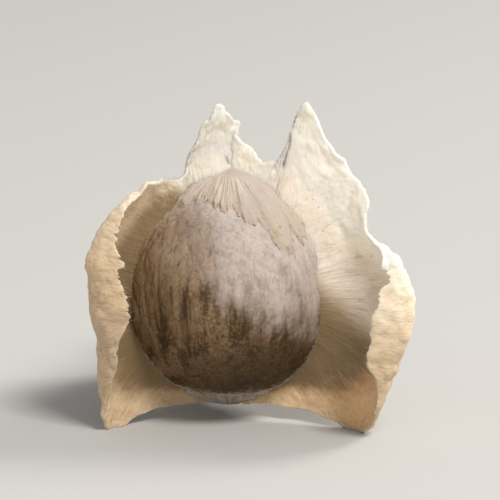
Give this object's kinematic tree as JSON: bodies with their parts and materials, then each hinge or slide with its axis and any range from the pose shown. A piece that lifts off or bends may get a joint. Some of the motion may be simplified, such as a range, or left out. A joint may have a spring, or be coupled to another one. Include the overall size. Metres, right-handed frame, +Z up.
{
  "type": "moringa seed",
  "caption": "Round brown tree seed held between curled, torn, papery cream wings that meet in a ragged crest; it stands on the low ends of its wings.",
  "frame": {"origin": "on the surface that the seed stands on, under the middle of its outline as seen from above", "axes": "+Z runs up the seed's axis, from the feet of the wings to the torn crest; -Y faces the viewer of the picture, with the left wing at -X and the right wing at +X"},
  "size_m": [0.0138, 0.0142, 0.0135],
  "materials": {
    "hull_skin": "dull, corky dark brown skin with a greyish bloom",
    "wing_paper": "matt, papery cream tissue, olive-brown in its folds"
  },
  "bodies": {
    "root": {"seed_hull": "hull_skin", "seed_wings": "wing_paper"}
  },
  "joints": []
}
